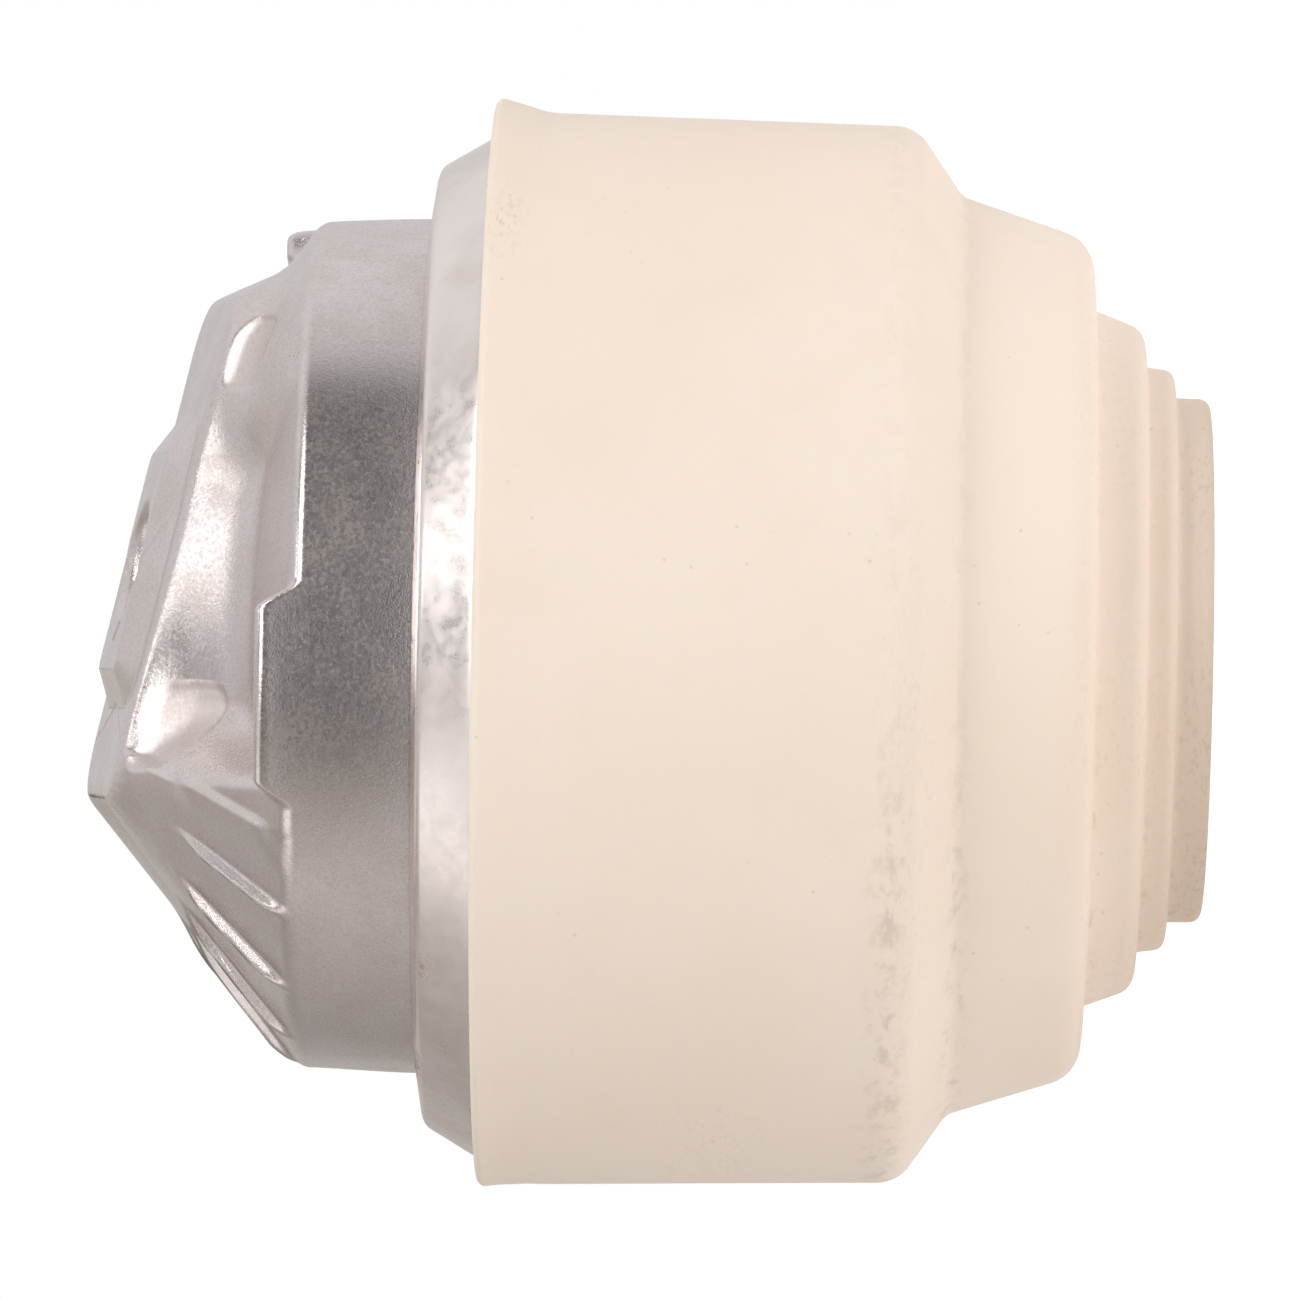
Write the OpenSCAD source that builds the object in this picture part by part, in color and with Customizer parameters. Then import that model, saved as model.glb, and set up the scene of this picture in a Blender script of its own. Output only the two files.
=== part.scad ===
// Hydraulic engine mount, standing on its protective cap. +Z runs along the axis, from the cap to the
// seat. The origin is the centre of the cap's flat base.

/* [Cap] */
// Radius of the cap's body below the lip
cap_r = 42.85; // [42.7:0.05:43.2]
// Height of the cap
cap_h = 57.8; // [56:0.1:59]
// Wall of the cap
cap_wall = 1.0; // [0.8:0.1:1.1]
// Radius of the flared lip
lip_r = 43.9; // [43.5:0.1:45]

/* [Pot] */
// Outer radius of the pot's cylinder
pot_r = 34.15; // [33.5:0.05:34.3]
// Wall of the pressed pot
pot_wall = 2.0; // [1.5:0.1:2.2]
// Height of the pot's rim, where the cylinder ends
rim_z = 71.3; // [70:0.1:73]
// Lean of the seat along X
seat_incline = 13.2; // [10:0.1:16]
// Lean of the seat along Y
seat_roll = 9.5; // [0:0.5:11]
// Height of the seat under the middle of the pad
seat_z = 84.3; // [83:0.05:85]
// Position of the pad along X
seat_x = 6.4; // [5:0.1:8]
// Width of the seat
seat_w = 22; // [20:1:24]
// Slope of the seat's side walls
side_slope = 44; // [40:1:52]

/* [Seat thread] */
// Wall radius of the seat thread, M10 before tapping
seat_thread_r = 4.25; // [4:0.05:4.5]
// Length of the threaded insert behind the pad
seat_nut_h = 9; // [7:0.5:10]

/* [Core] */
// Wall radius of the core thread, M12 before tapping
core_thread_r = 5.1; // [5:0.05:5.3]
// Depth of the core thread
core_thread_depth = 18; // [14:1:20]
// Travel of the core towards the cap, in rebound
core_rebound = 4; // [2:0.5:4]

/* [Hidden] */
$fn = 96;

cream = [0.93, 0.86, 0.79];
aluminium = [0.74, 0.73, 0.73];
steel = [0.66, 0.66, 0.68];
plated = [0.80, 0.79, 0.76];
rubber = [0.09, 0.09, 0.09];
plastic = [0.20, 0.21, 0.23];

big = 60;                     // longer than any part that a cutting block must pass
gap = 0.1;                    // between pieces that are stacked face to face
arc_steps = 6;                // points along a rounded corner of a profile

// Levels of the clamped stack, from the cap's side up
clamp_z = 45.1;
clamp_r = 39.6;
cover_sheet = 1.5;
spring_flange = 1.9;
plate_flange = 2.0;
washer_h = 1.4;
spring_ring_z = clamp_z + cover_sheet + gap;
upper_plate_z = spring_ring_z + spring_flange + gap;
lower_plate_z = upper_plate_z + plate_flange + gap;
washer_z = lower_plate_z + plate_flange + gap;
bead_z = washer_z + washer_h + gap;
foot_z = 57.6;

// Track plates and the disc that floats between them
plate_split_z = 57;
plate_h = 4.1;
disc_r = 17;
disc_h = 2;
disc_play = 1.3;
disc_clear = 0.05;
pocket_below = 1.6;
pocket_above = disc_h + disc_play + 2 * disc_clear - pocket_below - gap;
track_r = 21.7;
track_w = 3.4;
track_depth = 2.4;
track_open = 24;              // degrees of the ring that stay closed between the two ends

// Core and its stop
cover_floor_z = 21.9;
buffer_h = 2.6;
stop_sheet = 1.5;
stop_clear = 0.2;
buffer_z = cover_floor_z + cover_sheet + core_rebound + stop_clear;
stop_z = buffer_z + buffer_h + gap;
core_z = stop_z + stop_sheet + gap;
core_top = 46;
boss_r = 11;
boss_z = 18;

// Head of the pot
pad = [21, 15, 1.6];          // length, width and height of the raised pad
seat_high_end = 19.4;         // from the pad's middle to the seat's ends, along the seat
seat_low_end = 21.6;
lug_turn = 27;                // degrees that each lug covers
lug_top = 74.3;
lug_w = 2.6;
lug_r = pot_r - 0.1;
rim_step = 0.3;               // between the cylinder's wall and the dome that stands on it
lug_offset = 7;               // degrees that the first lug is turned away from -Y
rib_count = 8;
rib_pitch = 14.6;

// ---- rounded profiles ----

function unit(v) = v / norm(v);
function turn_left(v) = [-v[1], v[0]];

// A corner [x, y, radius] of a path becomes an arc between its two neighbours
function rounded(a, b, c) =
    let (u = unit([a[0] - b[0], a[1] - b[1]]), v = unit([c[0] - b[0], c[1] - b[1]]),
         half = acos(max(-1, min(1, u * v))) / 2, reach = b[2] / tan(half),
         centre = [b[0], b[1]] + unit(u + v) * b[2] / sin(half),
         start = [b[0], b[1]] + u * reach - centre, sweep = 180 - 2 * half,
         way = (turn_left(-u) * v > 0) ? 1 : -1)
    [for (i = [0:arc_steps]) let (t = way * sweep * i / arc_steps)
        centre + [start[0] * cos(t) - start[1] * sin(t), start[0] * sin(t) + start[1] * cos(t)]];

function smooth(path) = [for (i = [0:len(path) - 1])
    each (path[i][2] == 0 ? [[path[i][0], path[i][1]]] : rounded(path[i - 1], path[i], path[i + 1]))];

// The same path, moved to its left by a wall's thickness
function inset_corner(a, b, c, wall) =
    let (p = turn_left(unit([b[0] - a[0], b[1] - a[1]])), q = turn_left(unit([c[0] - b[0], c[1] - b[1]])),
         bends_left = turn_left(unit([b[0] - a[0], b[1] - a[1]])) * [c[0] - b[0], c[1] - b[1]] > 0,
         moved = [b[0], b[1]] + wall * (p + q) / (1 + p * q))
    [moved[0], moved[1], b[2] == 0 ? 0 : (bends_left ? max(b[2] - wall, 0.15) : b[2] + wall)];

function inset(path, wall) = let (last = len(path) - 1) [for (i = [0:last])
    inset_corner(i == 0 ? 2 * path[0] - path[1] : path[i - 1], path[i],
                 i == last ? 2 * path[last] - path[last - 1] : path[i + 1], wall)];

function backwards(path) = [for (i = [len(path) - 1:-1:0]) path[i]];

module lathe(points) rotate_extrude($fn = 180) polygon(points);

module ring(r_in, r_out, z, h) {
    translate([0, 0, z]) difference() {
        cylinder(r = r_out, h = h);
        translate([0, 0, -1]) cylinder(r = r_in, h = h + 2);
    }
}

// ---- cap ----

// Outside of the cap from the middle of its base to its lip: [radius, height, corner radius]
cap_path = [
    [0, 0, 0],
    [20.9, 0, 0.9], [20.95, 2.8, 0.25],
    [23.1, 2.95, 0.9], [23.4, 5.25, 0.25],
    [26.3, 5.4, 1.2], [27.8, 9.35, 0.3],
    [33.3, 9.6, 1.7], [36.7, 20.1, 1.3],
    [42.2, 24.1, 3.0],
    [cap_r, 53.2, 6.0],
    [lip_r, cap_h, 0]
];

module cap() {
    color(cream) lathe(concat(smooth(cap_path), backwards(smooth(inset(cap_path, cap_wall)))));
}

// ---- clamped stack of the housing ----

module crimp_ring() {
    color(plated) lathe([
        [34.5, 62.9], [38.2, 61.6], [39.9, 58], [41.3, 55], [41.3, 43.5], [38.1, 43.5],
        [38.1, 45], [39.8, 45], [39.8, 54.7], [38.5, 57.5], [37.2, 60.4], [34.5, 61.4]
    ]);
}

module diaphragm_ring() color(steel) ring(32.5, clamp_r - 0.2, washer_z, washer_h);

module diaphragm() {
    color(rubber) lathe([
        [39.3, bead_z], [39.3, 55], [38.1, foot_z - gap], [32, foot_z - gap], [31.4, 59], [31.4, 65.4], [29, 68.2],
        [24.5, 68.2], [20.5, 64.6], [0, 64.6], [0, 63.2], [21.1, 63.2], [25.1, 66.8], [28.4, 66.8],
        [30, 64.9], [30, bead_z]
    ]);
}

module track_groove(z) {
    translate([0, 0, z]) rotate([0, 0, track_open / 2])
        rotate_extrude(angle = 360 - track_open, $fn = 180)
            translate([track_r - track_w / 2, 0]) square([track_w, track_depth]);
}

// Round windows on two circles and one in the middle, through a plate's web
module windows(z, h) {
    translate([0, 0, z]) {
        cylinder(r = 2, h = h);
        for (i = [0:5]) rotate([0, 0, 60 * i]) translate([6.4, 0, 0]) cylinder(r = 2, h = h);
        for (i = [0:11]) rotate([0, 0, 30 * i + 15]) translate([12.4, 0, 0]) cylinder(r = 2, h = h);
    }
}

module upper_track_plate() {
    color(plastic) difference() {
        lathe([
            [clamp_r, upper_plate_z], [clamp_r, upper_plate_z + plate_flange],
            [26, upper_plate_z + plate_flange], [26, plate_split_z], [0, plate_split_z],
            [0, plate_split_z - plate_h], [23.8, plate_split_z - plate_h], [23.8, upper_plate_z]
        ]);
        translate([0, 0, plate_split_z - pocket_below]) cylinder(r = disc_r + 0.3, h = big);
        track_groove(plate_split_z - track_depth);
        windows(plate_split_z - plate_h - 1, plate_h + 2);
        rotate([0, 0, -track_open / 2 - 4]) translate([track_r, 0, 50]) cylinder(r = 1.4, h = big);
    }
}

module lower_track_plate() {
    bottom = plate_split_z + gap;
    color(plastic) difference() {
        lathe([
            [clamp_r, lower_plate_z], [clamp_r, lower_plate_z + plate_flange],
            [28.2, lower_plate_z + plate_flange], [28.2, bottom + plate_h], [0, bottom + plate_h],
            [0, bottom], [26.1, bottom], [26.1, lower_plate_z]
        ]);
        translate([0, 0, bottom - 1]) cylinder(r = disc_r + 0.3, h = 1 + pocket_above);
        track_groove(bottom);
        windows(bottom, plate_h + 1);
        rotate([0, 0, track_open / 2 + 4]) translate([track_r, 0, bottom]) cylinder(r = 1.4, h = big);
        ring(33.9, 36.1, lower_plate_z - 1, 2.1);
    }
}

module track_seal() color(rubber) ring(34, 36, lower_plate_z - disc_clear, 1.1);

module decoupler() {
    z = plate_split_z - pocket_below + disc_clear;
    color(rubber) difference() {
        translate([0, 0, z]) cylinder(r = disc_r, h = disc_h);
        for (i = [0:2]) ring(4 + 4.5 * i, 4.8 + 4.5 * i, z + disc_h - 0.4, 1);
    }
}

// ---- rubber spring, core and stop ----

module spring_ring() {
    top = spring_ring_z + spring_flange;
    color(steel) lathe([
        [clamp_r, spring_ring_z], [clamp_r, top], [34.6, top], [31, 37.8], [32.7, 37.8],
        [35.6, spring_ring_z]
    ]);
}

module main_spring() {
    color(rubber) lathe([
        [34.4, 48.4], [31, 38], [29.4, 36.4], [22, 34.6], [15.15, core_z + 1.6], [10.3, 44.2],
        [12.4, 46.4], [18, 45.2], [27, 46.6], [31.5, 48.2]
    ]);
}

module core() {
    color(aluminium) difference() {
        lathe([
            [0, core_top], [9, core_top], [10, 44.4], [15, core_z + 1.6], [15, core_z], [boss_r, core_z],
            [boss_r, boss_z + 0.8], [boss_r - 0.8, boss_z], [0, boss_z]
        ]);
        translate([0, 0, boss_z - 1]) cylinder(r = core_thread_r, h = core_thread_depth + 1);
        translate([8, 0, boss_z - 1]) cylinder(r = 1.5, h = 5);
    }
}

module locator_pin() {
    color(steel) translate([8, 0, boss_z - 2.4]) union() {
        translate([0, 0, 0.5]) cylinder(r = 1.45, h = 5.8);
        cylinder(r1 = 1, r2 = 1.45, h = 0.5, $fn = 32);
    }
}

module stop_plate() color(steel) ring(boss_r + gap, 26, stop_z, stop_sheet);

module rebound_buffer() {
    color(rubber) difference() {
        ring(16, 25, buffer_z, buffer_h);
        for (i = [0:11]) rotate([0, 0, 30 * i])
            translate([10, 0, buffer_z]) rotate([0, 90, 0]) cylinder(r = 1, h = 20, $fn = 24);
    }
}

module stop_cover() {
    z = cover_floor_z;
    color(steel) lathe([
        [clamp_r, clamp_z], [clamp_r, clamp_z + cover_sheet], [36.4, clamp_z + cover_sheet],
        [36.4, 26], [33.4, z + cover_sheet], [14, z + cover_sheet], [14, z], [34, z], [37.9, 25.6],
        [37.9, clamp_z]
    ]);
}

// ---- pot ----

// The frame of the seat: X along it, +Z out of it, the origin under the middle of the pad
module on_seat() translate([seat_x, 0, seat_z]) rotate([seat_roll, seat_incline, 0]) children();

// One side wall of the seat, with the slope running down along -Y
module on_side(mirrored) {
    on_seat() mirror([0, mirrored ? 1 : 0, 0])
        translate([0, -seat_w / 2, 0]) rotate([side_slope, 0, 0]) children();
}

// Rim and seat in one smooth dome, with both moved inwards by depth
module dome(depth) {
    reach = depth * 0.7;
    hull() {
        translate([0, 0, rim_z - 1 - depth]) cylinder(r = pot_r - rim_step - depth, h = 1);
        on_seat() translate([-seat_high_end + reach, reach - seat_w / 2 - rim_step, -depth - 0.1])
            cube([seat_high_end + seat_low_end - 2 * reach, seat_w + 2 * rim_step - 2 * reach, 0.1]);
    }
}

// What the side walls take off the dome, down to a ledge that slopes to the rim
module side_cut(mirrored, depth) {
    intersection() {
        on_side(mirrored) translate([-big / 2, -big, -depth]) cube(big);
        mirror([0, mirrored ? 1 : 0, 0]) translate([-12 - depth, -pot_r, rim_z - depth])
            rotate([10.5, 0, 0]) translate([0, -big / 4, 0]) cube([big, big, big]);
    }
}

module lug(turn) {
    rotate([0, 0, turn - lug_turn / 2]) rotate_extrude(angle = lug_turn, $fn = 180)
        polygon([
            [pot_r - pot_wall, rim_z - 3], [lug_r, rim_z - 3], [lug_r, lug_top - 0.8],
            [lug_r - 0.8, lug_top], [lug_r - lug_w, lug_top], [lug_r - lug_w - 2, rim_z - 1]
        ]);
}

// Ribs fan out from the high end of the seat to the rim
module ribs() {
    top = [-13.4, 0, 87.4];
    for (i = [0:rib_count - 1]) {
        turn = 180 + rib_pitch * (i - (rib_count - 1) / 2);
        foot = [(pot_r - 2.6) * cos(turn), (pot_r - 2.6) * sin(turn), rim_z + 1.4];
        side = 0.28 * (foot - top)[1];
        start = top + [0, side, side * tan(seat_roll) - 0.7];
        way = foot - start;
        translate(start) rotate([0, acos(way[2] / norm(way)), atan2(way[1], way[0])])
            cylinder(r1 = 0.3, r2 = 1.1, h = norm(way), $fn = 24);
    }
}

module pot() {
    color(aluminium) difference() {
        union() {
            difference() {
                dome(0);
                side_cut(false, 0);
                side_cut(true, 0);
                for (side = [false, true]) on_side(side) {
                    for (x = [-11.5, 17.5]) translate([x, -3.2, 3.2]) sphere(r = 4.2, $fn = 48);
                    translate([-8, -3.2, 4.8]) rotate([0, 90, 0]) cylinder(r = 5.2, h = 20);
                }
            }
            lathe([
                [0, rim_z - 0.8], [0, foot_z], [38, foot_z], [37, 60.2], [pot_r, 61.3],
                [pot_r, rim_z - 0.6], [pot_r - 0.2, rim_z - 0.4], [pot_r - 1, rim_z - 0.4]
            ]);
            for (i = [0:2]) lug(270 - lug_offset + 120 * i);
            ribs();
            on_seat() translate([-pad[0] / 2, -pad[1] / 2, -1]) cube([pad[0], pad[1], pad[2] + 1]);
        }
        difference() {
            dome(pot_wall);
            side_cut(false, pot_wall + 0.5);
            side_cut(true, pot_wall + 0.5);
        }
        translate([0, 0, foot_z - 1]) cylinder(r = pot_r - pot_wall, h = rim_z - pot_wall - foot_z + 0.6);
        on_seat() translate([0, 0, -big / 4]) cylinder(r = seat_thread_r, h = big / 2);
    }
}

module seat_nut() {
    color(steel) on_seat() translate([0, 0, -pot_wall - gap - seat_nut_h]) difference() {
        union() {
            cylinder(r = 8, h = seat_nut_h);
            translate([0, 0, seat_nut_h - 2]) cylinder(r = 9.5, h = 2);
        }
        translate([0, 0, -1]) cylinder(r = seat_thread_r, h = seat_nut_h + 2);
    }
}

cap();
crimp_ring();
pot();
seat_nut();
diaphragm();
diaphragm_ring();
lower_track_plate();
decoupler();
upper_track_plate();
track_seal();
spring_ring();
main_spring();
core();
stop_plate();
rebound_buffer();
stop_cover();
locator_pin();
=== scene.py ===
"""Looks for the hydraulic engine mount in its protective cap.

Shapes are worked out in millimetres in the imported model's frame: +Z along the axis from the cap to the
seat, +X along the seat towards its low end, and the camera on the -Y side.
"""
import math

import bpy
import numpy as np
from mathutils import Matrix, Vector


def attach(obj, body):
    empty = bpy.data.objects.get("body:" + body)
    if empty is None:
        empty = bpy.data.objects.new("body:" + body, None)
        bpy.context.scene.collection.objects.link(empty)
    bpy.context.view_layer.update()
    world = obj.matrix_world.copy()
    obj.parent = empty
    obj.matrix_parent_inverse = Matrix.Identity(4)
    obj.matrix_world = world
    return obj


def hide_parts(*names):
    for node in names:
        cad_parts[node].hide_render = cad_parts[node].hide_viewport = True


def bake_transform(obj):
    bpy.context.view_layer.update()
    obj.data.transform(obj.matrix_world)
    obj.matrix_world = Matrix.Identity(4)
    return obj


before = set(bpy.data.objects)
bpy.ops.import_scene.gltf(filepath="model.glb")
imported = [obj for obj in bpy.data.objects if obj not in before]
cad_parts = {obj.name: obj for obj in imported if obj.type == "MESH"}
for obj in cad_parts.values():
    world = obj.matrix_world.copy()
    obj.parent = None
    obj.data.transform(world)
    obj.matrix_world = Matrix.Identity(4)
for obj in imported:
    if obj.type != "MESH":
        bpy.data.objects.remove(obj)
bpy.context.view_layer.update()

MM = 0.001
rng = np.random.default_rng(7)


# ---------------------------------------------------------------- sizes shared with the CAD model, in mm

CAP_WALL = 1.0
POT_R = 34.15
POT_WALL = 2.0
RIM_R = 34.0
FOOT_Z = 57.6
SEAT = np.array([6.4, 0.0, 84.3])
SEAT_INCLINE = math.radians(13.2)
SEAT_ROLL = math.radians(9.5)
SEAT_HALF_W = 11.0
SEAT_HIGH_END = 19.4
SEAT_LOW_END = 21.6
SEAT_CORNER = 4.5
THREAD_R = 4.25
LUG_TOP = 74.3
LUG_W = 2.6
LUG_TURN = 27.0
LUG_OFFSET = 7.0
RIB_COUNT = 8
RIB_PITCH = 14.6
PAD_HALF_L = 10.5
PAD_HALF_W = 7.5
PAD_CORNER = 2.5
PAD_H = 1.65


# ---------------------------------------------------------------- small maths

def smoothstep(lo, hi, x):
    t = np.clip((x - lo) / (hi - lo), 0, 1)
    return t * t * (3 - 2 * t)


def soft_min(a, b, k):
    """The smaller of two heights, with the crease between them rounded over k."""
    h = np.clip(0.5 + 0.5 * (b - a) / k, 0, 1)
    return b * (1 - h) + a * h - k * h * (1 - h)


def soft_max(a, b, k):
    return -soft_min(-a, -b, k)


def unit(v):
    return v / np.linalg.norm(v)


def waves(turn, height, amplitude, count, turns, per_mm):
    """A gentle, seeded unevenness over a surface of revolution, in mm."""
    out = np.zeros(np.broadcast(turn, height).shape)
    for _ in range(count):
        n = rng.integers(1, turns + 1)
        out += np.cos(n * turn + rng.uniform(-per_mm, per_mm) * height + rng.uniform(0, 2 * np.pi))
    return amplitude * out / math.sqrt(count)


def fillet(a, b, c, radius, steps):
    """The arc that rounds the corner b between a and c."""
    u, v = unit(a - b), unit(c - b)
    half = math.acos(np.clip(u @ v, -1, 1)) / 2
    reach = radius / math.tan(half)
    centre = b + unit(u + v) * radius / math.sin(half)
    start, end = b + u * reach - centre, b + v * reach - centre
    turn = math.atan2(start[0] * end[1] - start[1] * end[0], start @ end)
    angles = np.linspace(0, turn, steps)
    return [centre + (start[0] * math.cos(t) - start[1] * math.sin(t),
                      start[0] * math.sin(t) + start[1] * math.cos(t)) for t in angles]


def rounded(corners, steps=7, longest=1.6):
    """A path of [x, y, radius] corners as points no further apart than longest."""
    c = [np.array(p[:2], float) for p in corners]
    path = []
    for i, corner in enumerate(corners):
        if corner[2] == 0:
            path.append(c[i])
        else:
            path += fillet(c[i - 1], c[i], c[(i + 1) % len(c)], corner[2], steps)
    filled = [path[0]]
    for p in path[1:]:
        n = max(1, math.ceil(np.linalg.norm(p - filled[-1]) / longest))
        filled += [filled[-1] + (p - filled[-1]) * k / n for k in range(1, n + 1)]
    return np.array(filled)


def inset(corners, wall):
    """The same corners moved to the path's left by a wall's thickness."""
    out = []
    last = len(corners) - 1
    p = [np.array(c[:2], float) for c in corners]
    for i, corner in enumerate(corners):
        before = 2 * p[0] - p[1] if i == 0 else p[i - 1]
        after = 2 * p[last] - p[last - 1] if i == last else p[i + 1]
        a, b = unit(p[i] - before), unit(after - p[i])
        na, nb = np.array([-a[1], a[0]]), np.array([-b[1], b[0]])
        moved = p[i] + wall * (na + nb) / (1 + na @ nb)
        radius = corner[2]
        if radius:
            radius = max(radius - wall, 0.15) if na @ b > 0 else radius + wall
        out.append([moved[0], moved[1], radius])
    return out


# ---------------------------------------------------------------- mesh building

def mesh_of(name, points, faces):
    mesh = bpy.data.meshes.new(name)
    mesh.from_pydata((np.asarray(points) * MM).tolist(), [], faces)
    mesh.validate()
    mesh.update()
    mesh.polygons.foreach_set("use_smooth", np.ones(len(mesh.polygons), bool))
    obj = bpy.data.objects.new(name, mesh)
    bpy.context.scene.collection.objects.link(obj)
    return obj


def revolved(name, rows, closed=False):
    """Rows of points round the axis, joined to each other. A row that is one point becomes a pole."""
    rows = np.asarray(rows, float)
    n_rows, n_cols = rows.shape[:2]
    poles = [np.ptp(rows[i].reshape(-1, 3), axis=0).max() < 1e-6 for i in (0, n_rows - 1)]
    first, last = int(poles[0]), n_rows - int(poles[1])
    points = rows[first:last].reshape(-1, 3)
    col = np.arange(n_cols)
    nxt = (col + 1) % n_cols
    faces = []
    kept = last - first
    for r in range(kept if closed else kept - 1):
        a, b = r * n_cols, ((r + 1) % kept) * n_cols
        faces += np.stack([a + col, a + nxt, b + nxt, b + col], 1).tolist()
    extra = []
    if poles[0]:
        top = len(points) + len(extra)
        extra.append(rows[0, 0])
        faces += np.stack([np.full(n_cols, top), nxt, col], 1).tolist()
    if poles[1]:
        end = len(points) + len(extra)
        base = (kept - 1) * n_cols
        extra.append(rows[-1, 0])
        faces += np.stack([np.full(n_cols, end), base + col, base + nxt], 1).tolist()
    if extra:
        points = np.vstack([points, extra])
    return mesh_of(name, points, faces)


def lathe(name, profile, segments, uneven=None, closed=False):
    """A profile of [radius, height] turned round the axis, with uneven(turn, height, radius) added."""
    turn = np.arange(segments) * 2 * np.pi / segments
    r, z = profile[:, 0][:, None], profile[:, 1][:, None]
    radius = r + 0 * turn
    if uneven:
        radius = radius + uneven(turn[None, :], z, r) * (r > 1)
    rows = np.stack([radius * np.cos(turn), radius * np.sin(turn), z + 0 * radius], -1)
    return revolved(name, rows, closed)


def paint(obj, name, values):
    """Keeps one number per vertex on the mesh, for its material to read."""
    layer = obj.data.attributes.new(name, "FLOAT", "POINT")
    layer.data.foreach_set("value", np.asarray(values, np.float32))


def vertices(obj):
    co = np.zeros(len(obj.data.vertices) * 3)
    obj.data.vertices.foreach_get("co", co)
    return co.reshape(-1, 3) / MM


# ---------------------------------------------------------------- shader building

class Shader:
    """A material under construction. Lengths in its textures are in mm."""

    def __init__(self, name):
        self.material = bpy.data.materials.new(name)
        self.material.use_nodes = True
        self.tree = self.material.node_tree
        self.bsdf = self.tree.nodes["Principled BSDF"]
        coords = self.add("ShaderNodeTexCoord")
        self.mm = self.add("ShaderNodeVectorMath", operation="SCALE")
        self.link(coords.outputs["Object"], self.mm.inputs[0])
        self.mm.inputs["Scale"].default_value = 1000

    def add(self, kind, **settings):
        node = self.tree.nodes.new(kind)
        for key, value in settings.items():
            setattr(node, key, value)
        return node

    def link(self, source, target):
        self.tree.links.new(source, target)

    def feed(self, socket, value):
        if isinstance(value, bpy.types.NodeSocket):
            self.link(value, socket)
        else:
            socket.default_value = value

    def stretched(self, scale):
        """Texture coordinates in mm, multiplied by scale along each axis."""
        node = self.add("ShaderNodeVectorMath", operation="MULTIPLY")
        self.link(self.mm.outputs[0], node.inputs[0])
        node.inputs[1].default_value = scale
        return node.outputs[0]

    def noise(self, size, detail=3, roughness=0.5, vector=None):
        """Noise with features of about that size in mm, from 0 to 1."""
        node = self.add("ShaderNodeTexNoise")
        self.link(vector or self.mm.outputs[0], node.inputs["Vector"])
        node.inputs["Scale"].default_value = 1 / size
        node.inputs["Detail"].default_value = detail
        node.inputs["Roughness"].default_value = roughness
        return node.outputs["Fac"]

    def cells(self, size, output="Distance"):
        """Cells of about that size in mm: the distance to their middles, or a colour each."""
        node = self.add("ShaderNodeTexVoronoi")
        self.link(self.mm.outputs[0], node.inputs["Vector"])
        node.inputs["Scale"].default_value = 1 / size
        return node.outputs[output]

    def painted(self, name):
        """The number that paint() kept under that name, or 0 on a mesh without it."""
        return self.add("ShaderNodeAttribute", attribute_name=name).outputs["Fac"]

    def maths(self, operation, a, b=0.0):
        node = self.add("ShaderNodeMath", operation=operation)
        self.feed(node.inputs[0], a)
        self.feed(node.inputs[1], b)
        return node.outputs[0]

    def ramp(self, value, lo, hi, low=0.0, high=1.0):
        """value between lo and hi, eased and mapped to low and high."""
        node = self.add("ShaderNodeMapRange", interpolation_type="SMOOTHSTEP")
        self.feed(node.inputs["Value"], value)
        node.inputs["From Min"].default_value = lo
        node.inputs["From Max"].default_value = hi
        node.inputs["To Min"].default_value = low
        node.inputs["To Max"].default_value = high
        return node.outputs["Result"]

    def mix(self, factor, a, b):
        node = self.add("ShaderNodeMix", data_type="RGBA")
        self.feed(node.inputs[0], factor)
        self.feed(node.inputs[6], (*a, 1) if isinstance(a, tuple) else a)
        self.feed(node.inputs[7], (*b, 1) if isinstance(b, tuple) else b)
        return node.outputs[2]

    def bump(self, height, depth_mm, strength=1.0, normal=None):
        node = self.add("ShaderNodeBump")
        node.inputs["Strength"].default_value = strength
        node.inputs["Distance"].default_value = depth_mm * MM
        self.link(height, node.inputs["Height"])
        if normal is not None:
            self.link(normal, node.inputs["Normal"])
        return node.outputs["Normal"]

    def finish(self, **inputs):
        """Sets the surface's sockets. Underscores stand for the spaces in their names."""
        for key, value in inputs.items():
            self.feed(self.bsdf.inputs[key.replace("_", " ")], value)
        return self.material


def colour(red, green, blue):
    """A display colour from 0 to 255 as the light it stands for."""
    return tuple(((c / 255 + 0.055) / 1.055) ** 2.4 if c > 10 else c / 3294.6 for c in (red, green, blue))


# ---------------------------------------------------------------- materials

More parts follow.
